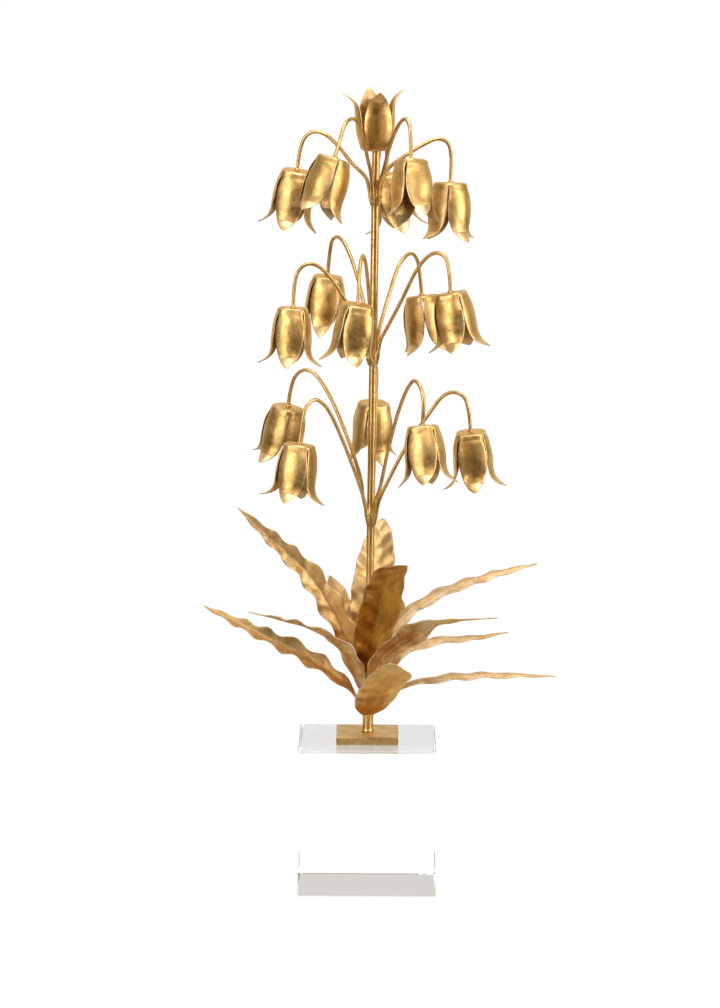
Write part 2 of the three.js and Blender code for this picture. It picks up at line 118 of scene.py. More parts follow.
# Makes the piece that stands for a CAD node; a sheet gets its wall under the given surface
def makePiece(node, points, faces, finishes, marks=None, sheet=None):
    name = "fine_" + node
    mesh = bpy.data.meshes.new(name)
    mesh.from_pydata((points * millimetre).tolist(), [], [list(f) for f in faces])
    for key, values in (marks or {}).items():
        attribute = mesh.attributes.new(key, "FLOAT", "POINT")
        attribute.data.foreach_set("value", np.ascontiguousarray(values, np.float32))
    work = bmesh.new()
    work.from_mesh(mesh)
    bmesh.ops.remove_doubles(work, verts=work.verts, dist=mergeDistance * millimetre)
    work.to_mesh(mesh)
    work.free()
    mesh.polygons.foreach_set("use_smooth", np.ones(len(mesh.polygons), bool))
    for finish in finishes:
        mesh.materials.append(finish)
    piece = bpy.data.objects.new(name, mesh)
    bpy.context.scene.collection.objects.link(piece)
    if sheet:
        wall = piece.modifiers.new("sheet", "SOLIDIFY")
        wall.thickness = sheet * millimetre
        wall.offset = -1
        wall.material_offset = 1
        smooth = piece.modifiers.new("rounded edge", "SUBSURF")
        smooth.levels = smooth.render_levels = 1
    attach(piece, "root")
    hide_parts(node)


# Tube with rings along a path: ring = centre + radius(ring, side) in the plane across the path
def tube(path, tangent, radius, across):
    rings, sides = radius.shape
    right = unit(across - (across * tangent).sum(-1, keepdims=True) * tangent)
    up = np.cross(tangent, right)
    turn = np.arange(sides) * 2 * np.pi / sides
    ring = right[:, None] * np.cos(turn)[:, None] + up[:, None] * np.sin(turn)[:, None]
    points = path[:, None] + ring * radius[..., None]
    points = np.vstack([points.reshape(-1, 3), path[:1], path[-1:]])
    around = np.arange(sides)
    following = (around + 1) % sides
    last = (rings - 1) * sides
    ends = [np.stack([following, around, np.full(sides, rings * sides)], -1),
            np.stack([last + around, last + following, np.full(sides, rings * sides + 1)], -1)]
    return points, gridFaces(rings, sides, closed=True).tolist() + np.vstack(ends).tolist()


# Lump of solder: a ball stretched by half sizes, with its surface raised by soft noise
def lump(centre, half, seed, rough):
    rows, columns = 15, 20
    down = np.linspace(0, np.pi, rows)[:, None]
    around = np.linspace(0, 2 * np.pi, columns, endpoint=False)
    x, y, z = np.sin(down) * np.cos(around), np.sin(down) * np.sin(around), np.cos(down) + 0 * around
    swell = 1 + rough * softNoise(3 * x + z, 3 * y - 2 * z, 3.2, seed)
    swell[[0, -1]] = swell[[0, -1]].mean(1, keepdims=True)
    points = centre + np.stack([x, y, z], -1) * swell[..., None] * half
    return points.reshape(-1, 3), gridFaces(rows, columns, closed=True)[:, ::-1].tolist()


def joined(parts):  # several closed shells as one list of points and faces
    points, faces, count = [], [], 0
    for p, f in parts:
        points.append(p)
        faces += [[count + i for i in face] for face in f]
        count += len(p)
    return np.vstack(points), faces


# Small tools for materials. Most add one node to a node tree and give its output back.

def feed(tree, socket, value):  # links an output, or sets a colour or a number
    if isinstance(value, bpy.types.NodeSocket):
        tree.links.new(value, socket)
    elif isinstance(value, tuple):
        socket.default_value = (*value, 1)
    else:
        socket.default_value = value


def combine(tree, operation, a, b):
    node = tree.nodes.new("ShaderNodeMath")
    node.operation = operation
    feed(tree, node.inputs[0], a)
    feed(tree, node.inputs[1], b)
    return node.outputs[0]


def spread(tree, value, low, high, start=0, end=1, smooth=False):  # low...high becomes start...end
    node = tree.nodes.new("ShaderNodeMapRange")
    node.interpolation_type = "SMOOTHSTEP" if smooth else "LINEAR"
    for key, number in (("From Min", low), ("From Max", high), ("To Min", start), ("To Max", end)):
        node.inputs[key].default_value = number
    feed(tree, node.inputs["Value"], value)
    return node.outputs["Result"]


def blend(tree, factor, under, over):
    node = tree.nodes.new("ShaderNodeMix")
    node.data_type = "RGBA"
    feed(tree, node.inputs["Factor"], factor)
    feed(tree, node.inputs["A"], under)
    feed(tree, node.inputs["B"], over)
    return node.outputs["Result"]


def noise(tree, place, scale, detail, rough):
    node = tree.nodes.new("ShaderNodeTexNoise")
    for key, number in (("Scale", scale), ("Detail", detail), ("Roughness", rough)):
        node.inputs[key].default_value = number
    feed(tree, node.inputs["Vector"], place)
    return node.outputs["Fac"]


def mark(tree, key):
    node = tree.nodes.new("ShaderNodeAttribute")
    node.attribute_name = key
    return node.outputs["Fac"]


def ownPlace(tree):
    return tree.nodes.new("ShaderNodeTexCoord").outputs["Object"]


def newMaterial(name):
    material = bpy.data.materials.new(name)
    material.use_nodes = True
    tree = material.node_tree
    return material, tree, tree.nodes["Principled BSDF"]


# Layers of the gold finish. Each is a noise with detail and roughness, and the two levels between which the
# layer comes in.
goldLayers = {
    "patch": (4, 0.55, 0.34, 0.66),
    "grain": (5, 0.7, 0.42, 0.72),
    "streak": (3, 0.6, 0.45, 0.68),
    "pit": (3, 0.75, 0.66, 0.74),
    "paintedShade": (4, 0.7, 0.38, 0.6),
    "wearAndHighlight": (2, 0.6, 0.34, 0.62),
    "gloss": (5, 0.65, 0.3, 0.7),
}


# Gold finish: leaf laid over brown bole, mottled in tone, grained, brushed in upright streaks, pinholed,
# darkened by painted shade where marked, pale along edges where worn and where a painted highlight is
# marked, and painted pale at the tips as a highlight
def goldFinish(name, look):
    material, tree, shader = newMaterial(name)
    feed(tree, shader.inputs["Metallic"], 1)
    feed(tree, shader.inputs["Specular Tint"], look["edgeTint"])
    place = ownPlace(tree)
    stretch = tree.nodes.new("ShaderNodeMapping")
    stretch.inputs["Scale"].default_value = (1, 1, 0.1)
    tree.links.new(place, stretch.inputs["Vector"])

    def layer(key, scale, start, end, where=place):
        detail, rough, low, high = goldLayers[key]
        return spread(tree, noise(tree, where, scale, detail, rough), low, high, start, end)

    tone = layer("patch", look["patchScale"], 0, 1)
    grain = layer("grain", look["grainScale"], 0, look["grain"])
    streaks = layer("streak", look["streakScale"], 0, look["streaks"], stretch.outputs["Vector"])
    pits = layer("pit", look["pitScale"], 0, look["pits"])
    # painted shade: bole colour laid over the petals' marked groove, crease and blot above the crease,
    # broken by noise
    paintedShade = layer("paintedShade", look["paintedShadeScale"], 0.1, look["paintedShade"])
    paintedShade = combine(tree, "MULTIPLY", mark(tree, "paintedShade"), paintedShade)
    # pale colour along marked edges: real edge wear, plus a painted highlight on the bloom's cap rim and on
    # a leaf's line half way
    wearAndHighlight = layer("wearAndHighlight", look["wearAndHighlightScale"], 0, look["wearAndHighlight"])
    wearAndHighlight = combine(tree, "MULTIPLY", mark(tree, "edge"), wearAndHighlight)
    # painted highlight: the tips are tinted pale where the flared petal tips face the lights
    tips = spread(tree, mark(tree, "tip"), 0, 1, 0, look["tipTint"])
    colour = look["deep"]
    layers = ((tone, "gold"), (grain, "pale"), (streaks, "deep"), (pits, "bole"), (paintedShade, "bole"),
              (wearAndHighlight, "wornAndHighlight"), (tips, "tip"))
    for factor, over in layers:
        colour = blend(tree, factor, colour, look[over])
    feed(tree, shader.inputs["Base Color"], colour)
    feed(tree, shader.inputs["Roughness"], layer("gloss", look["patchScale"] * 2.3, *look["roughness"]))
    relief = None
    for scale, detail, depth in look["relief"]:
        bump = tree.nodes.new("ShaderNodeBump")
        bump.inputs["Strength"].default_value = 1
        bump.inputs["Distance"].default_value = depth * millimetre
        feed(tree, bump.inputs["Height"], noise(tree, place, scale, detail, 0.6))
        if relief:
            feed(tree, bump.inputs["Normal"], relief)
        relief = bump.outputs["Normal"]
    feed(tree, shader.inputs["Normal"], relief)
    return material


# Looks: colours of the layers, from the leaf's deep patches to its pale grain, and the share and the scale
# of each layer. Relief is a list of bumps, each with scale, detail and depth in millimetres.
bloomLook = {
    "deep": (0.58, 0.33, 0.07), "gold": (0.82, 0.53, 0.19), "pale": (0.90, 0.68, 0.40),
    "bole": (0.24, 0.11, 0.03), "wornAndHighlight": (0.92, 0.74, 0.50), "tip": (0.92, 0.68, 0.40),
    "edgeTint": (1, 0.86, 0.64), "patchScale": 95, "grainScale": 620, "streakScale": 240,
    "pitScale": 520, "paintedShadeScale": 260, "wearAndHighlightScale": 170,
    "grain": 0.55, "pits": 0.7, "wearAndHighlight": 0.45, "tipTint": 0.5, "streaks": 0.5, "paintedShade": 0.75,
    "roughness": (0.3, 0.48), "relief": [(150, 3, 0.3), (900, 3, 0.02)],
}
# darker copy of the bloom gold for the inner faces of the petals: painted shade
shadedBloomInsideLook = {
    **bloomLook, "deep": (0.42, 0.22, 0.05), "gold": (0.60, 0.36, 0.11), "roughness": (0.36, 0.5),
}
wireLook = {
    **bloomLook, "patchScale": 130, "wearAndHighlight": 0, "tipTint": 0, "pits": 0.25, "streaks": 0,
    "roughness": (0.3, 0.42), "relief": [(200, 3, 0.1), (1000, 3, 0.02)],
}
leafLook = {
    **bloomLook, "deep": (0.58, 0.33, 0.09), "gold": (0.79, 0.50, 0.18), "wornAndHighlight": (0.92, 0.80, 0.64),
    "patchScale": 75, "wearAndHighlight": 0.5, "tipTint": 0.2, "streaks": 0.25,
    "roughness": (0.36, 0.52), "relief": [(95, 1, 0.24), (300, 1, 0.02)],
}
# darker copy of the leaf gold for leaf undersides: painted shade
leafUnderShadeLook = {
    **leafLook, "deep": (0.42, 0.19, 0.03), "gold": (0.62, 0.33, 0.07), "pale": (0.74, 0.46, 0.15),
    "roughness": (0.34, 0.52),
}
brownLeafLook = {
    **leafLook, "deep": (0.44, 0.20, 0.02), "gold": (0.70, 0.38, 0.07), "pale": (0.74, 0.45, 0.12),
    "wornAndHighlight": (0.86, 0.64, 0.34), "wearAndHighlight": 0.3, "roughness": (0.30, 0.44),
}
# darker copy of the brown leaf gold for its underside: painted shade
brownUnderShadeLook = {**brownLeafLook, "deep": (0.30, 0.12, 0.01), "gold": (0.58, 0.29, 0.03)}
# oranger copy of the leaf gold for undersides: painted reflection of gold in gold
warmUnderReflectionLook = {
    **leafLook, "deep": (0.60, 0.31, 0.06), "gold": (0.84, 0.46, 0.11), "pale": (0.92, 0.60, 0.24),
    "roughness": (0.38, 0.52),
}
paleLeafLook = {
    **leafLook, "deep": (0.54, 0.33, 0.12), "gold": (0.74, 0.50, 0.22), "pale": (0.88, 0.70, 0.46),
    "wearAndHighlight": 1, "roughness": (0.5, 0.64),
}
# oranger copy of the leaf gold for the pale leaves' undersides: painted reflection of gold in gold
paleUnderReflectionLook = {**leafLook, "deep": (0.54, 0.29, 0.05), "gold": (0.78, 0.46, 0.12), "wearAndHighlight": 1}
plateLook = {
    **bloomLook, "deep": (0.46, 0.27, 0.05), "gold": (0.66, 0.42, 0.16), "pale": (0.94, 0.69, 0.46),
    "edgeTint": (1, 0.93, 0.80), "patchScale": 110, "grain": 0.4, "wearAndHighlight": 0, "tipTint": 0, "streaks": 0,
    "roughness": (0.36, 0.5), "relief": [(420, 5, 0.1), (1500, 3, 0.03)],
}

bloomGold = goldFinish("bloom gold", bloomLook)
shadedBloomInside = goldFinish("bloom inside painted shade", shadedBloomInsideLook)
wireGold = goldFinish("wire gold", wireLook)
leafFinishes = {
    "bright": [goldFinish("leaf gold", leafLook), goldFinish("leaf underside painted shade", leafUnderShadeLook)],
    "brown": [goldFinish("brown leaf gold", brownLeafLook),
              goldFinish("brown leaf underside painted shade", brownUnderShadeLook)],
    "warm": [goldFinish("warm leaf gold", leafLook), goldFinish("warm leaf underside painted reflection", warmUnderReflectionLook)],
    "pale": [goldFinish("worn leaf gold", paleLeafLook), goldFinish("worn leaf underside painted reflection", paleUnderReflectionLook)],
}
plateGold = goldFinish("plate gold", plateLook)
print("finishes made")

# Stem. The rod leans a little to the right: x = footX + lean * (z - footZ). Radii are pairs of height and
# radius, and welds swell it, centred by the drop below the height from which a tier's stalks leave.
stem = {
    "footX": 0.2, "lean": 4.3 / 433, "footZ": 112.8, "startZ": 113.15, "topZ": 545.6, "radius": 2.9,
    "sides": 28, "rings": 420, "weld": {"lower": 278, "middle": 397, "upper": 514}, "drop": 3,
    "radii": [(113, 4.8), (114.5, 3.9), (117, 3.9), (124, 4.0), (129, 4.6), (138, 4.9), (147, 4.4),
              (152, 3.0), (160, 2.9)],
    "swell": 0.9, "swellHalf": 5, "leafWeldZ": 137, "leafWeldHalf": 11, "lumpHalf": (1.7, 1.7, 3.6),
    "lumpRough": 0.3, "lumpSeed": 60, "lumpOut": 3.2, "uneven": 0.012, "weldUneven": 0.06,
}


def stemX(z):
    return stem["footX"] + stem["lean"] * (z - stem["footZ"])


# Stalks. Each has the azimuth of its wire, its path as pairs of reach and height, and how its bloom hangs:
# lean to the right, nod towards the viewer, spin, and the flares that end its four petals, in degrees.
stalks = {
    "lower_1": dict(
        azimuth=150, lean=-11, nod=-5, spin=-35, flares=(66, 55, 55, 68),
        path=((9, 303), (23, 338), (37, 364), (50, 378.5), (58, 379.5), (65, 374.5), (69.5, 363),
              (71.3, 351.5))),
    "lower_2": dict(
        azimuth=-141, lean=-7, nod=3, spin=-15, flares=(62, 62, 58, 72),
        path=((11, 300), (25, 330.5), (39, 356), (46, 363.5), (53, 366.5), (60.5, 362), (63.5, 354),
              (66.5, 335.5))),
    "lower_3": dict(
        azimuth=88.5, sway=2.6, lean=-3, nod=-6, spin=28, flares=(28, 50, 50, 26),
        path=((11, 305), (26, 343), (38, 364), (47, 374), (55, 378), (63, 374.5), (68.5, 365),
              (70, 350))),
    "lower_4": dict(
        azimuth=-59, lean=5, nod=8, spin=-8, flares=(55, 52, 50, 45),
        path=((12, 296), (24, 327), (40.5, 361.5), (54, 379.5), (61, 383.5), (69, 379.5), (73, 371),
              (72.4, 352.5))),
    "lower_5": dict(
        azimuth=-9, lean=5, nod=-4, spin=-2, flares=(70, 55, 55, 58),
        path=((13.4, 303), (26, 327.5), (41, 350), (54, 366.5), (62, 369), (69, 365), (72, 356),
              (73.8, 340.5))),
    "middle_1": dict(
        azimuth=-168, lean=-3, nod=2, spin=-6, flares=(52, 60, 55, 62),
        path=((12, 421), (21, 436), (31, 451), (41, 461), (49, 463), (55.5, 458.5), (58.5, 449),
              (59.8, 431.5))),
    "middle_2": dict(
        azimuth=119, lean=-5, nod=-2, spin=-5, flares=(46, 55, 55, 58),
        path=((10, 420), (22.5, 446.5), (39, 468), (49, 475), (56, 476.5), (63.5, 473), (67.5, 463),
              (70.5, 446))),
    "middle_3": dict(
        azimuth=-99, lean=-9, nod=-2, spin=15, flares=(64, 44, 38, 48),
        path=((10, 419), (19, 438), (30, 459), (40, 470), (49, 473.5), (59, 469), (66, 456),
              (68.5, 441))),
    "middle_4": dict(
        azimuth=57, lean=7, nod=5, spin=-44, flares=(54, 48, 55, 66),
        path=((9, 415), (20.5, 436.5), (35, 458.5), (48, 465), (55, 463.5), (60.5, 457), (63.5, 446),
              (65.9, 432.5))),
    "middle_5": dict(
        azimuth=-30, lean=10, nod=3, spin=-18, flares=(60, 56, 62, 66),
        path=((10, 413), (23, 435.5), (36.5, 460), (46, 470.5), (53, 473.3), (60, 470.5), (63.2, 460),
              (64.6, 445.5))),
    "upper_1": dict(
        azimuth=170, lean=-9, nod=-4, spin=-8, flares=(68, 44, 55, 55),
        path=((9, 527.5), (17.5, 535.5), (28.5, 548.5), (37.5, 556), (46, 557.7), (52, 554), (55.5, 546),
              (58.2, 529.5))),
    "upper_2": dict(
        azimuth=-116, lean=-18, nod=8, spin=-31, flares=(52, 48, 60, 55),
        path=((8, 530), (14, 542), (21, 556.5), (29, 567), (38.5, 571), (49.5, 568), (59, 556),
              (66.5, 545))),
    "upper_3": dict(
        azimuth=-63, lean=2, nod=20, spin=-60, flares=(44, 36, 50, 50),
        path=((8, 524), (21.5, 548), (30, 559.5), (39, 568.3), (47.5, 571.5), (53.3, 567.5), (55.5, 558),
              (56, 542))),
    "upper_4": dict(
        azimuth=12, lean=-2, nod=4, spin=-50, flares=(66, 56, 74, 55),
        path=((10, 532), (20.5, 540), (28, 544.5), (36, 549), (46, 552.7), (53.5, 550), (56.2, 541),
              (56, 521))),
    "upper_5": dict(
        azimuth=82.5, lean=13, nod=-2, spin=11, flares=(48, 48, 46, 80),
        path=((10, 530), (24, 545), (36, 556), (46, 560), (54, 557.5), (60, 549), (62.5, 537),
              (62.8, 522))),
}

# Bloom sizes. Widths, slopes and kick are pairs of share along a petal and value.
bloom = {
    "capSide": 10.7, "capPower": 3, "rimRound": 2, "rimOut": 0.5, "petalOut": 0.4, "sag": 0.2,
    "length": 44.2, "sheet": 0.7, "half": 10.8, "bulge": 3.2, "tuck": 0.7,
    "columns": 13, "capRows": 6, "rimRows": 5, "petalRows": 44, "slopeSteps": 240,
    "capBlend": 0.16, "edgeFade": 5, "tipFrom": 0.72, "tipTo": 0.84,
    "dents": 0.15, "dentSize": 15, "crease": 0.4, "creaseAt": 0.77, "creaseHalf": 0.025,
    "groove": 0.22, "grooveAt": 0.05, "grooveHalf": 0.022,
    # the blot is painted shade on the lower part of each petal
    "shadeBlot": 0.45, "shadeBlotAt": 0.64, "shadeBlotHalf": 0.1,
    "widths": [(0, 0.86), (0.12, 0.89), (0.32, 1), (0.54, 0.95), (0.72, 0.74), (0.87, 0.41), (1, 0.03)],
    "slopes": [(0, 24), (0.1, 16), (0.25, 8), (0.45, 2), (0.6, -1), (0.7, 0), (1, 0)],
    "kick": [(0, 0), (0.6, 0), (0.7, 0.24), (0.8, 0.58), (0.9, 0.88), (1, 1.05)],
}


# One petal with its quarter of the cap, as out, across and down from the cap's middle.
# Cap: rounded square |cos|^3 + |sin|^3 = 1, sagging a little, turned down over a quarter round at its rim.
# Petal: a middle line with slope(s) = slopes(s) + flare * kick(s), and a circular arc across it, tilted by
# the tuck so that one edge lies over the next petal's other edge. A groove runs under the rim and a crease
# above the tip. Gives the points, their share along the petal, how near an edge they are (the cap's rim is
# set as a painted highlight), and how much painted shade darkens them in the groove, the crease and a blot
# above it.
def petalSurface(flare, seed):
    b = bloom
    u = np.linspace(-1, 1, b["columns"])[None]
    turn = u * np.pi / 4
    power = b["capPower"]
    rim = b["capSide"] * (np.cos(turn)**power + np.abs(np.sin(turn))**power)**(-1 / power) + b["rimOut"]
    capReach = np.linspace(0, 1, b["capRows"])[:, None] * (rim - b["rimRound"])
    bend = np.linspace(0, np.pi / 2, b["rimRows"] + 1)[1:, None]
    reach = np.vstack([capReach, rim - b["rimRound"] * (1 - np.sin(bend))])
    drop = np.vstack([0 * capReach, b["rimRound"] * (1 - np.cos(bend)) + 0 * rim])
    drop = drop + b["sag"] * (reach / rim)**3 * (1 + np.sin(6 * turn + seed) * np.cos(2 * turn))
    cap = np.stack([reach * np.cos(turn), reach * np.sin(turn), drop], -1)

    fine = np.linspace(0, 1, b["slopeSteps"] + 1)
    slope = np.radians(profile(b["slopes"], fine) + flare * np.interp(fine, *np.array(b["kick"]).T))
    step = b["length"] / b["slopeSteps"]
    outRun = b["capSide"] + b["petalOut"] + np.concatenate([[0], np.cumsum(np.sin(slope[1:]) * step)])
    downRun = b["rimRound"] + np.concatenate([[0], np.cumsum(np.cos(slope[1:]) * step)])
    s = np.linspace(0, 1, b["petalRows"] + 1)[1:, None]
    out, down, tilt = (np.interp(s, fine, run) for run in (outRun, downRun, slope))
    width = profile(b["widths"], s)
    half = b["half"] * width
    bulge = b["bulge"] * width**1.5
    arc = 2 * np.arctan2(bulge, half)
    away = easeIn(s, 0, b["capBlend"])
    across = (1 - away) * rim * np.sin(turn) + away * half * np.sin(u * arc) / np.sin(arc)
    sink = away * (bulge * (1 - np.cos(u * arc)) / (1 - np.cos(arc)) - b["tuck"] * width * u)
    sink = sink + (1 - away) * (rim[0, b["columns"] // 2] - rim * np.cos(turn))
    crease = peak(s, b["creaseAt"] + 0.03 * u**2, b["creaseHalf"]) * (1 - u**2)
    groove = peak(s, b["grooveAt"], b["grooveHalf"])
    dents = softNoise(across, s * b["length"], b["dentSize"], seed)
    dents = dents * easeIn(s, 0.02, 0.2) * easeIn(s, 1, 0.9)
    sink = sink + b["crease"] * crease + b["groove"] * groove + b["dents"] * dents
    petal = np.stack([out - sink * np.cos(tilt), across, down + sink * np.sin(tilt)], -1)

    along = np.concatenate([np.zeros(len(cap)), s[:, 0]])[:, None] + 0 * u
    edge = np.exp(-(1 - np.abs(u)) * b["edgeFade"]) * (along > 0)
    edge[b["capRows"] + 1:b["capRows"] + 4] = 1  # the rim of the cap is painted pale all round, a painted highlight along its bend
    # painted shade: a dark blot above the crease, and dark lines in the groove under the rim and along the
    # crease
    shadeBlot = b["shadeBlot"] * peak(s, b["shadeBlotAt"], b["shadeBlotHalf"]) * (1 - u**2)
    shadeMask = np.maximum(np.maximum(crease**3, shadeBlot), groove / 2)
    paintedShade = np.concatenate([0 * cap[..., 0], shadeMask])
    return np.concatenate([cap, petal]), along, edge, paintedShade


def bloomAxis(lean, nod, upward):  # direction from a bloom's cap to its mouth
    lean, nod = np.radians([lean, nod])
    return np.array([np.sin(lean) * np.cos(nod), -np.sin(nod), upward * np.cos(lean) * np.cos(nod)])


# Bloom: four petals a quarter turn apart round its axis, hanging, or standing where upward is 1
def makeBloom(name, place, lean, nod, spin, flares, seed, upward=-1):
    axis = bloomAxis(lean, nod, upward)
    up = upward * axis
    spin = np.radians(spin)
    front = np.array([np.sin(spin), -np.cos(spin), 0])
    front = unit(front - front @ axis * axis)
    right = np.cross(up, front)
    points, faces, tips, edges, paintedShades = [], [], [], [], []
    for k, flare in enumerate(flares):
        local, along, edge, paintedShade = petalSurface(flare, seed * 10 + k)
        out = front * np.cos(k * np.pi / 2) + right * np.sin(k * np.pi / 2)
        side = np.cross(up, out)
        grid = place + local[..., :1] * out + local[..., 1:2] * side + local[..., 2:] * axis
        quads = gridFaces(*grid.shape[:2]) + sum(len(p) for p in points)
        faces.append(quads[:, ::upward])  # a hanging bloom's quads are turned round to face outwards
        points.append(grid.reshape(-1, 3))
        # tips painted pale as a highlight
        tips.append(easeIn(along, bloom["tipFrom"], bloom["tipTo"]).ravel())
        edges.append(edge.ravel())
        paintedShades.append(paintedShade.ravel())
    marks = {"tip": np.concatenate(tips), "edge": np.concatenate(edges), "paintedShade": np.concatenate(paintedShades)}
    makePiece(name, np.vstack(points), np.vstack(faces), [bloomGold, shadedBloomInside],
              marks=marks, sheet=bloom["sheet"])


# Wires. A round rod from inside the weld along the stalk's path to the bloom's cap, a little uneven, with
# fine rings near its end, where it widens into a bead of solder. Sway bends it sideways by a half sine.
# Feet are inside the weld and bend is where the path's first turn lies, as reach and height over the weld.
wire = {
    "radius": 1.35, "sides": 12, "rings": 90, "gap": 0.45, "feet": [(2.4, -9), (3.9, -3)],
    "bend": (1.8, 10), "uneven": 0.02, "flare": 0.22, "threads": 0.04, "threadTurn": 3.2,
    "beadHalf": (2.3, 2.3, 1.1), "beadDrop": 0.2, "beadRough": 0.16, "beadSeed": 40,
}


def makeStalk(name, number, azimuth, path, lean, nod, spin, flares, sway=0):
    weldZ = stem["weld"][name.split("_")[0]]
    away = facing(azimuth)
    across = np.cross(away, [0, 0, 1])[None]
    start = stem["radius"] + wire["radius"] + wire["gap"]
    bend = (start + wire["bend"][0], weldZ + wire["bend"][1])
    free = np.array([(start, weldZ + 3), bend, *path])
    feet = np.array(wire["feet"]) + [0, weldZ]
    flat = np.vstack([feet, free])
    aside = np.concatenate([0 * feet[:, 0], sway * np.sin(np.linspace(0, np.pi, len(free)))])[:, None]
    foot = np.array([stemX(weldZ), 0, 0])
    points = foot + flat[:, :1] * away + flat[:, 1:] * np.array([0, 0, 1]) + aside * across
    centre, tangent, length = smoothPath(points, wire["rings"])
    place = points[-1]
    axis = bloomAxis(lean, nod, -1)
    tangent[-1] = axis
    s = np.linspace(0, 1, wire["rings"])[:, None]
    side = np.arange(wire["sides"])[None] / wire["sides"]
    swell = wire["uneven"] * softNoise(s * length, side * 8, 12, number)
    swell = swell + wire["flare"] * easeIn(s, 0.985, 1)
    swell = swell + wire["threads"] * easeIn(s, 0.9, 0.97) * np.sin(s * length * wire["threadTurn"])
    body = tube(centre, tangent, wire["radius"] * (1 + swell), across)
    beadCentre = place - wire["beadDrop"] * axis
    bead = lump(beadCentre, wire["beadHalf"], wire["beadSeed"] + number, wire["beadRough"])
    points, faces = joined([body, bead])
    makePiece("wire_" + name, points, faces, [wireGold])
    makeBloom("bloom_" + name, place, lean, nod, spin, flares, number)


for number, (name, stalk) in enumerate(stalks.items()):
    makeStalk(name, number, **stalk)
topBloom = dict(place=np.array([stemX(545), 0, 545.3]), lean=-2, nod=1, spin=12, flares=(46, 50, 30, 58))
makeBloom("bloom_top", **topBloom, seed=77, upward=1)
print("wires and blooms made")


# Stem: rings up the rod, uneven by soft noise, more so at the welds, with a solder lump under each stalk
def makeStem():
    z = np.linspace(stem["startZ"], stem["topZ"], stem["rings"])[:, None]
    turn = np.arange(stem["sides"])[None] / stem["sides"]
    radius = np.interp(z, *np.array(stem["radii"]).T)
    lumpy = peak(z, stem["leafWeldZ"], stem["leafWeldHalf"])
    for weldZ in stem["weld"].values():
        radius = radius + stem["swell"] * peak(z, weldZ - stem["drop"], stem["swellHalf"])
        lumpy = lumpy + peak(z, weldZ - stem["drop"], stem["swellHalf"] + 1)
    uneven = stem["uneven"] * softNoise(z * 0.4, turn * 9, 7, 3)
    uneven = uneven + stem["weldUneven"] * lumpy * softNoise(z, turn * 20, 6, 4)
    path = np.concatenate([stemX(z), 0 * z, z], 1)
    parts = [tube(path, unit(np.gradient(path, axis=0)), radius * (1 + uneven), np.array([[1, 0, 0]]))]
    for seed, (name, stalk) in enumerate(stalks.items(), stem["lumpSeed"]):
        weldZ = stem["weld"][name.split("_")[0]]
        height = weldZ - stem["drop"] + 2 * np.sin(2.1 * seed)
        centre = np.array([stemX(weldZ), 0, height]) + stem["lumpOut"] * facing(stalk["azimuth"])
        parts.append(lump(centre, stem["lumpHalf"], seed, stem["lumpRough"]))
    points, faces = joined(parts)
    makePiece("stem", points, faces, [wireGold])


makeStem()
print("stem made")

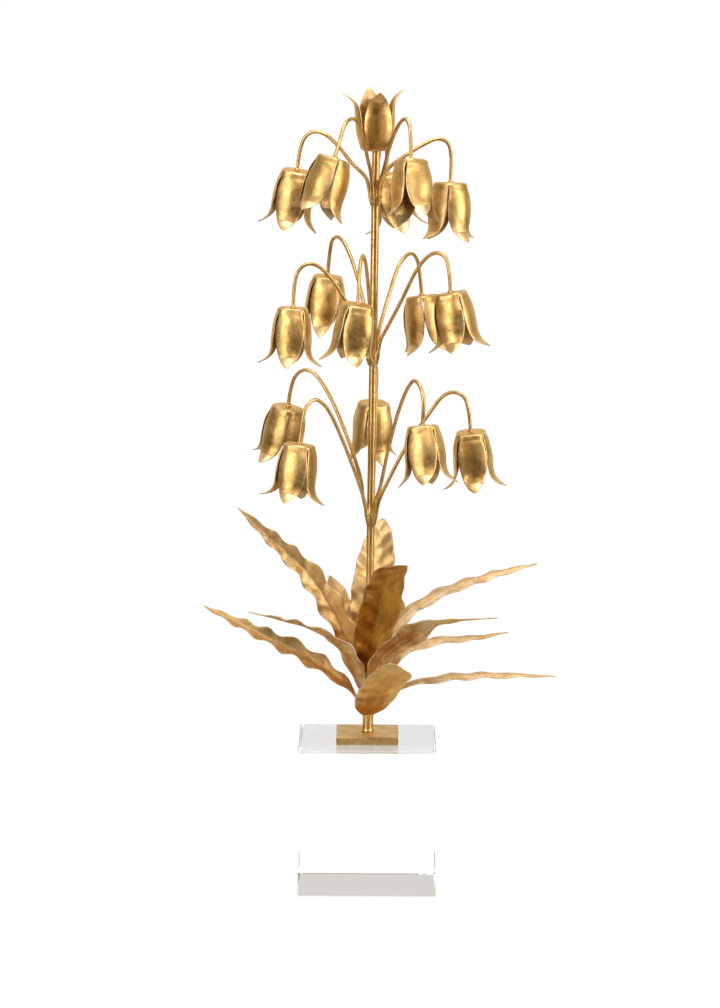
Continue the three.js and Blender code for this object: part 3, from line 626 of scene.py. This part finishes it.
# Leaves, each along a path from base to tip. Roll turns the blade about its path at shares of its length,
# the fold lifts both sides, and lobes move each edge sideways with its ripple.
leaves = {
    "leaf_upper_left": dict(
        half=9.8, fold=28, roll=((0, -40), (0.15, -66), (0.5, -72), (1, -72)), phase=1.5, ripple=1.5,
        rippleLength=22.5, lobes=(0.2, -0.2), furrow=0.45, furrowLength=10,
        path=((-5.4, 1.5, 149), (-8.6, 2.5, 163), (-16, 4, 184), (-28, 6, 207), (-45, 8, 231),
              (-67, 10, 252), (-97, 13, 279))),
    "leaf_low_left": dict(
        half=7.6, fold=24, roll=((0, -30), (0.15, -46), (0.5, -55), (1, -55)), phase=6.2, ripple=1.3,
        rippleLength=22, lobes=(0.22, 0.42),
        path=((-5.2, -1.7, 133), (-12, -4, 144), (-24, -7, 155), (-48, -13, 172.5), (-82, -19, 191),
              (-121, -25, 212))),
    "leaf_thin_left": dict(
        finish="pale", half=14, fold=16, roll=((0, 0), (0.35, 0), (0.6, 6), (1, 8)), phase=2,
        path=((-3.5, -4.2, 144), (-10, -13, 160), (-19, -21, 176.5), (-30, -28, 188), (-45, -33, 196.5),
              (-88, -44, 211))),
    "leaf_short_back_left": dict(
        half=12, form="broad", fold=14, roll=((0, 0), (1, 0)), phase=0.8,
        path=((-3.4, 4.2, 145), (-10, 15, 162), (-15, 24, 182), (-23, 36, 205), (-29, 45, 222))),
    "leaf_tall_back": dict(
        half=17, form="rounded", fold=10, roll=((0, 0), (0.5, 4), (1, 0)), phase=0.2, ripple=1.1,
        furrow=1, furrowLength=13,
        path=((-0.4, 5.1, 149), (1, 13.8, 168), (3, 22.6, 194), (5.5, 31, 222), (8.5, 37, 246),
              (11, 42, 266))),
    "leaf_tall_front": dict(
        finish="brown", half=17.5, form="rounded", fold=8, roll=((0, 0), (0.5, 2), (1, 4)), phase=1,
        ripple=1, furrow=0.9, furrowLength=15,
        path=((1, -5.5, 149), (3.3, -11.5, 170), (6.2, -17, 192), (11.2, -27.5, 214), (13.1, -31.2, 225),
              (18.2, -42.5, 242), (21, -56, 248))),
    "leaf_upper_right": dict(
        finish="pale", half=6.4, form="slim", fold=-20, roll=((0, 16), (0.3, 24), (1, 26)), phase=4.7,
        ripple=0.7, rippleLength=23, lobes=(0.32, 0.15),
        path=((5.1, 1.8, 149), (11, 2, 169), (18, 4.1, 186.5), (27, 8, 199), (50, 15, 214.2),
              (88, 24, 226), (126, 32, 234))),
    "leaf_wide_right": dict(
        finish="pale", half=10.5, form="tailed", fold=6, phase=2.6, ripple=0.9,
        roll=((0, 0), (0.3, -12), (0.45, -32), (0.58, -52), (0.7, -40), (1, 0)),
        path=((1.2, -5.7, 139), (3.5, -11, 149), (8, -18, 165.1), (13.5, -27, 175.2), (21.2, -39, 184.4),
              (29.5, -49, 192.8), (37.4, -57, 200), (46.1, -62, 205.7), (63.4, -66, 209.2),
              (94.5, -68, 212))),
    "leaf_middle_right": dict(
        finish="pale", half=5.8, fold=-20, roll=((0, 26), (1, 26)), phase=5.1, ripple=0.6,
        rippleLength=25.5, lobes=(0.35, 0.1),
        path=((6.1, -1.4, 139), (12.4, -2.8, 153), (20, -4, 167.5), (32, -5, 178), (56, -6, 184),
              (77, -7, 185.2), (104, -8, 189.5))),
    "leaf_low_right": dict(
        finish="pale", half=5, fold=-20, roll=((0, 20), (0.4, 26), (1, 26)), phase=0.4, ripple=0.5,
        rippleLength=26.5, lobes=(0.38, 0.1),
        path=((4.8, 3.2, 131), (14, 3, 139.5), (25, 0, 147), (51, -9, 155.3), (82, -14, 158.8),
              (110, -17, 159.2), (138.9, -20, 159))),
    "leaf_low_front": dict(
        finish="warm", half=16.6, form="cupped", fold=8, roll=((0, 0), (0.45, 0), (0.75, -22), (1, -40)),
        phase=1.9, ripple=0.45, rippleLength=12, furrow=0.05,
        path=((1.2, -5.3, 126), (3.6, -13, 132), (6.7, -22, 139.9), (10, -34, 150), (15.1, -50, 161.2),
              (20.8, -60, 168.4), (27, -67, 173))),
    "leaf_short_back_right": dict(
        half=11, form="broad", fold=12, roll=((0, 0), (1, 0)), phase=2.4,
        path=((3.5, 4.4, 142), (10, 15, 158), (17, 26, 176), (21, 38, 194), (24, 48, 205))),
}
# Outlines as pairs of share along the blade and share of its half width
leafForms = {
    "long": [(0, 0.22), (0.08, 0.42), (0.2, 0.75), (0.35, 1), (0.5, 0.95), (0.7, 0.7), (0.88, 0.34),
             (1, 0.03)],
    "broad": [(0, 0.22), (0.1, 0.5), (0.25, 0.82), (0.45, 1), (0.65, 0.98), (0.82, 0.76), (0.94, 0.4),
              (1, 0.06)],
    "cupped": [(0, 0.34), (0.08, 0.66), (0.2, 0.92), (0.4, 1), (0.6, 0.94), (0.78, 0.8), (0.9, 0.74),
               (0.95, 0.62), (0.98, 0.42), (1, 0.2)],
    "rounded": [(0, 0.22), (0.1, 0.5), (0.25, 0.82), (0.45, 1), (0.65, 0.97), (0.8, 0.84), (0.91, 0.58),
                (0.97, 0.32), (1, 0.1)],
    "slim": [(0, 0.35), (0.15, 0.62), (0.3, 0.86), (0.5, 1), (0.65, 0.87), (0.8, 0.68), (0.92, 0.36),
             (1, 0.03)],
    "tailed": [(0, 0.3), (0.1, 0.6), (0.22, 0.88), (0.48, 0.88), (0.57, 0.92), (0.63, 0.7), (0.7, 0.42),
               (0.82, 0.34), (1, 0.03)],
}
# Sizes shared by all leaves. The wanders are lengths over which the ripple's pace, its height and the pale
# line painted half way across as a highlight change. Other edge is the phase by which the two edges ripple
# out of step.
leaf = {
    "columns": 15, "step": 1.7, "sheet": 0.7, "raise": 0.8, "foldWidth": 6, "otherEdge": 2.2, "slant": 0.7,
    "rib": 0.45, "ribHalf": 0.9, "dents": 0.2, "dentSize": 19, "seed": 200,
    "slowWander": 17, "quickWander": 9.5, "heightWander": 13, "paleLineWander": 11, "wearHalf": 1.6,
}


# Blade: centre line + u * width sideways, lifted at both sides by the fold and by a sine ripple towards the
# edges whose length and height wander, with a rounded rib along the middle and slanting furrows beside it.
# The two edges ripple out of step. Most relief fades out where the blade is narrow. A rounded tip is calm,
# and a cupped blade is lifted by u squared. It is worn pale at its edges, paler on the rib, and painted
# pale along a line half way as a painted highlight.
def makeLeaf(name, seed, path, half, fold, roll, phase, form="long", finish="bright", ripple=1.5,
             rippleLength=21, lobes=(0, 0), furrow=0.25, furrowLength=8.5):
    rows = int(smoothPath(path, 9)[2] / leaf["step"]) + 1
    centre, tangent, length = smoothPath(path, rows)
    s = np.linspace(0, 1, rows)[:, None]
    u = np.linspace(-1, 1, leaf["columns"])[None]
    level = unit(np.stack([-tangent[:, 1], tangent[:, 0], 0 * tangent[:, 0]], -1))
    turn = np.radians(profile(roll, s))
    side = level * np.cos(turn) + np.cross(tangent, level) * np.sin(turn)
    normal = unit(np.cross(tangent, side))
    width = half * profile(leafForms[form], s)
    along = s * length
    out = np.abs(u)

    shift = np.where(u > 0, 0, leaf["otherEdge"])
    wander = 0.5 * np.sin(along / leaf["slowWander"] + seed)
    wander = wander + 0.3 * np.sin(along / leaf["quickWander"] + 2 * seed + shift)
    wave = np.sin(2 * np.pi * along * (0.85 + 0.15 * s) / rippleLength + phase + shift + wander)
    calm = easeIn(s, 1, 0.86) if form == "rounded" else 1
    height = ripple * (1 + 0.3 * np.sin(along / leaf["heightWander"] + seed + shift)) * calm
    angle = np.radians(fold) * np.minimum(1, width / leaf["foldWidth"]) * calm
    crease = 2 if form == "cupped" else 1
    lift = out**crease * width * np.sin(angle) + height * wave * width / half * out**1.6
    grooves = np.sin(2 * np.pi * (along - leaf["slant"] * out * width) / furrowLength + shift + wander)
    lift = lift + furrow * grooves * out**0.7 * (1.2 - 0.8 * out) * easeIn(width, 2, 9)
    rib = leaf["rib"] / crease * peak(u * width, 0, leaf["ribHalf"])
    lift = lift + rib * easeIn(s, 1, 0.8) * easeIn(width, 2, 8)
    dents = softNoise(u * width, along, leaf["dentSize"], seed)
    lift = lift + leaf["dents"] * dents * easeIn(width, 1, 6) + leaf["raise"]
    across = u * width * np.cos(angle) * (1 + np.where(u < 0, *lobes) * wave * out)
    points = centre[:, None] + side[:, None] * across[..., None] + normal[:, None] * lift[..., None]

    wornAndHighlight = np.exp(-(1 - out) * width / leaf["wearHalf"]) + 0.5 * peak(u * width, 0, 1)
    # painted highlight: a pale line half way across the blade
    wornAndHighlight = wornAndHighlight + 0.65 * peak(out, 0.5 - 0.1 * np.sin(along / leaf["paleLineWander"] + seed), 0.1)
    wornAndHighlight = wornAndHighlight * easeIn(width, 1, 7)
    marks = {"edge": np.clip(wornAndHighlight, 0, 1).ravel(), "tip": (easeIn(s, 0.75, 1) + 0 * u).ravel()}
    faces = gridFaces(rows, leaf["columns"])[:, ::-1]
    makePiece(name, points.reshape(-1, 3), faces, leafFinishes[finish], marks=marks,
              sheet=leaf["sheet"])


for number, (name, settings) in enumerate(leaves.items(), leaf["seed"]):
    makeLeaf(name, number, **settings)
print("leaves made")


# Clear block: polished acrylic with faint smudges, in its own CAD node
def acrylicFinish():
    material, tree, shader = newMaterial("clear acrylic")
    feed(tree, shader.inputs["Transmission Weight"], 1)
    feed(tree, shader.inputs["IOR"], 1.49)
    smudges = noise(tree, ownPlace(tree), 30, 5, 0.5)
    feed(tree, shader.inputs["Roughness"], spread(tree, smudges, 0, 1, 0, 0.03))
    tint = blend(tree, smudges, (0.985, 0.985, 0.98), (0.96, 0.965, 0.955))
    feed(tree, shader.inputs["Base Color"], tint)
    return material


def dress(node, finish):
    piece = bpy.data.objects[node]
    if not piece.material_slots:
        piece.data.materials.append(finish)
    for slot in piece.material_slots:
        slot.material = finish
    return piece


block = dress("acrylic_block", acrylicFinish())
block.visible_shadow = False  # clear acrylic lets the light through to the floor
dress("base_plate", plateGold)
print("block and plate finished")


def seenDirectly(tree):  # 1 for what the lens sees, also through the clear block
    rays = tree.nodes.new("ShaderNodeLightPath")
    return combine(tree, "MAXIMUM", rays.outputs["Is Camera Ray"], rays.outputs["Is Transmission Ray"])


def showMix(tree, target, factor, first, second):  # the first shader where the factor is 0, else the second
    both = tree.nodes.new("ShaderNodeMixShader")
    for socket, value in zip(both.inputs, (factor, first, second)):
        tree.links.new(value, socket)
    tree.links.new(both.outputs["Shader"], tree.nodes[target].inputs["Surface"])


# Floor: a plain white disc, paper white to the lens, shaded a little where the block stands on it, and
# clear from below
floorSizes = {
    "radius": 0.5, "sides": 96, "z": -0.0004, "shadeFrom": 0.048, "shadeTo": 0.056, "shade": 0.66,
    "paper": 0.45, "glow": 0.6,
}


def makeFloor():
    f = floorSizes
    turn = np.linspace(0, 2 * np.pi, f["sides"], endpoint=False)
    ring = f["radius"] * np.stack([np.cos(turn), np.sin(turn), 0 * turn], -1) + [0, 0, f["z"]]
    mesh = bpy.data.meshes.new("floor")
    mesh.from_pydata(ring.tolist(), [], [list(range(f["sides"]))])
    floor = bpy.data.objects.new("floor", mesh)
    bpy.context.scene.collection.objects.link(floor)
    paper, tree, shader = newMaterial("white paper")
    place = tree.nodes.new("ShaderNodeSeparateXYZ")
    feed(tree, place.inputs["Vector"], ownPlace(tree))
    reach = combine(tree, "MAXIMUM", *(combine(tree, "ABSOLUTE", place.outputs[key], 0) for key in "XY"))
    shade = spread(tree, reach, f["shadeFrom"], f["shadeTo"], f["shade"], 1, smooth=True)
    glow = combine(tree, "MULTIPLY", seenDirectly(tree), f["glow"])
    feed(tree, shader.inputs["Base Color"], combine(tree, "MULTIPLY", shade, f["paper"]))
    feed(tree, shader.inputs["Roughness"], 1)
    feed(tree, shader.inputs["Emission Color"], (1, 1, 1))
    feed(tree, shader.inputs["Emission Strength"], combine(tree, "MULTIPLY", glow, shade))
    clear = tree.nodes.new("ShaderNodeBsdfTransparent")
    fromBelow = tree.nodes.new("ShaderNodeNewGeometry").outputs["Backfacing"]
    showMix(tree, "Material Output", fromBelow, shader.outputs["BSDF"], clear.outputs["BSDF"])
    mesh.materials.append(paper)


makeFloor()

# Studio: white behind everything the lens sees directly, dimmer above where it is seen through the block.
# In reflections a dim warm room, lighter above and white behind the object. The room's colours are given
# with their share of the way from straight down to straight up.
studio = {
    "room": [(0, (0.10, 0.065, 0.03)), (0.47, (0.12, 0.09, 0.05)), (0.6, (0.20, 0.17, 0.12)),
             (0.8, (0.42, 0.39, 0.34)), (1, (0.6, 0.58, 0.53))],
    "wall": (0.95, 0.95, 0.95), "white": (1, 1, 1), "throughBlock": (0.69, 0.665, 0.635), "strength": 1.02,
}


def makeStudio():
    world = bpy.data.worlds.new("studio")
    bpy.context.scene.world = world
    world.use_nodes = True
    tree = world.node_tree
    direction = tree.nodes.new("ShaderNodeSeparateXYZ")
    feed(tree, direction.inputs["Vector"], tree.nodes.new("ShaderNodeTexCoord").outputs["Generated"])
    ramp = tree.nodes.new("ShaderNodeValToRGB")
    stops = ramp.color_ramp.elements
    while len(stops) < len(studio["room"]):
        stops.new(0.5)
    for stop, (position, colour) in zip(stops, studio["room"]):
        stop.position = position
        stop.color = (*colour, 1)
    feed(tree, ramp.inputs["Fac"], spread(tree, direction.outputs["Z"], -1, 1))
    behind = spread(tree, direction.outputs["Y"], 0.1, 0.9, smooth=True)
    room = tree.nodes["Background"]
    feed(tree, room.inputs["Color"], blend(tree, behind, ramp.outputs["Color"], studio["wall"]))
    feed(tree, room.inputs["Strength"], 1)
    above = spread(tree, direction.outputs["Z"], 0, 0.08)
    through = tree.nodes.new("ShaderNodeLightPath").outputs["Is Transmission Ray"]
    dimmed = combine(tree, "MULTIPLY", above, through)
    white = tree.nodes.new("ShaderNodeBackground")
    feed(tree, white.inputs["Color"], blend(tree, dimmed, studio["white"], studio["throughBlock"]))
    feed(tree, white.inputs["Strength"], studio["strength"])
    shown = seenDirectly(tree)
    showMix(tree, "World Output", shown, room.outputs["Background"], white.outputs["Background"])


makeStudio()
print("floor and studio made")

# Softboxes, each a rectangle of light turned to the middle of the object
softboxes = {
    "left box": dict(at=(-1.3, -1.4, 0.8), width=0.9, height=1.6, power=17.5),
    "right box": dict(at=(1.6, -0.7, 0.7), width=0.9, height=1.6, power=16),
    "top box": dict(at=(0.1, -0.3, 2.1), width=1.4, height=1.2, power=19),
    "front box": dict(at=(0.5, -2.2, 1.9), width=0.9, height=0.6, power=8),
}
aim = Vector((0, 0, 0.33))
for name, box in softboxes.items():
    lamp = bpy.data.lights.new(name, "AREA")
    lamp.shape = "RECTANGLE"
    lamp.size = box["width"]
    lamp.size_y = box["height"]
    lamp.energy = box["power"]
    light = bpy.data.objects.new(name, lamp)
    light.location = box["at"]
    light.rotation_euler = (aim - light.location).to_track_quat("-Z", "Y").to_euler()
    light.visible_camera = False
    bpy.context.scene.collection.objects.link(light)
print("lights placed")

# Camera at the photo's viewing angle, fitted to the block's and the plate's corners. Angles in degrees; the
# focal length and the picture's long side in pixels.
fitted = dict(at=(0.0103, -3.3, 0.8431), yaw=-0.286, pitch=9.613, roll=0.225, focal=4541.2, longSide=1008)
yaw, pitch, roll = (math.radians(fitted[key]) for key in ("yaw", "pitch", "roll"))
forward = Vector((math.sin(yaw) * math.cos(pitch), math.cos(yaw) * math.cos(pitch), -math.sin(pitch)))
level = Vector((math.cos(yaw), -math.sin(yaw), 0))
right = math.cos(roll) * level + math.sin(roll) * level.cross(forward)
top = right.cross(forward)
lens = bpy.data.cameras.new("camera")
lens.lens = fitted["focal"] * lens.sensor_width / fitted["longSide"]
lens.clip_end = 100
camera = bpy.data.objects.new("camera", lens)
turned = Matrix((right, top, -forward)).transposed().to_4x4()
camera.matrix_world = Matrix.Translation(fitted["at"]) @ turned
bpy.context.scene.collection.objects.link(camera)
bpy.context.scene.camera = camera

view = bpy.context.scene.view_settings
view.view_transform = "Standard"
view.look = "None"
view.exposure = 0
print("camera placed")

print("scene ready")
